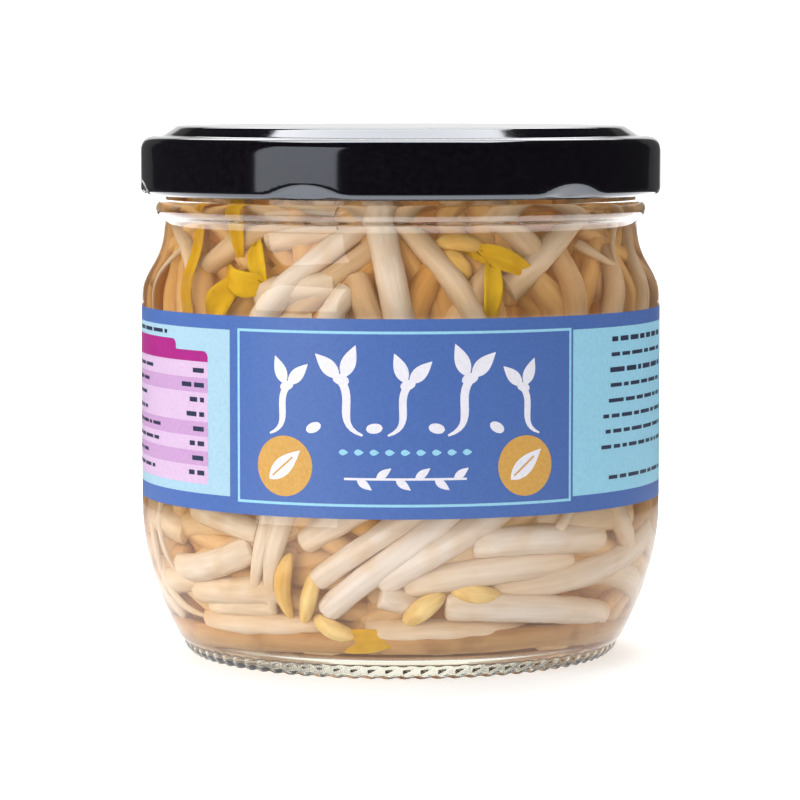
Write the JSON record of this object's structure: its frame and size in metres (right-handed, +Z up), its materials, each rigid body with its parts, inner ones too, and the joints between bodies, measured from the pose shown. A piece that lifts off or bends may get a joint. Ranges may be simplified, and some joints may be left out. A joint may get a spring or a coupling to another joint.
{
  "type": "jar of bean sprouts",
  "caption": "Squat glass jar packed with bean sprouts in brine, with a wrapped paper label and a twist-off steel lid that turns on its thread.",
  "frame": {"origin": "centre of the jar's base, on the surface that it stands on", "axes": "+Z up the jar's axis, -Y towards the middle of the label's front panel, +X to the right of it"},
  "size_m": [0.0848, 0.0848, 0.0859],
  "materials": {
    "glass": "clear flint glass, smooth, slightly green where it is thick",
    "label_paper": "coated paper printed in periwinkle blue, pale cyan and pink",
    "brine": "pale amber brine",
    "sprouts": "moist translucent cream sprout stems",
    "sprout_leaf": "moist yellow seed leaves",
    "seal_compound": "off-white flowed-in sealing compound",
    "lid_lacquer": "gloss black lacquer on tinplate"
  },
  "bodies": {
    "jar": {"glass_jar": "glass", "label": "label_paper", "brine": "brine", "sprouts": "sprouts"},
    "seal": {"lid_seal": "seal_compound"},
    "lid": {"lid": "lid_lacquer"}
  },
  "joints": [
    {"name": "lid_rise", "type": "slide", "parent": "jar", "child": "seal", "axis": [0, 0, 1], "range_m": [0, 0.00105]},
    {"name": "lid_twist", "type": "hinge", "parent": "seal", "child": "lid", "pos_m": [0, 0, 0.08], "axis": [0, 0, 1], "range_deg": [0, 35]}
  ],
  "couplings": [
    {"joint": "lid_rise", "follows": "lid_twist", "m_per_rad": 0.0017188}
  ]
}
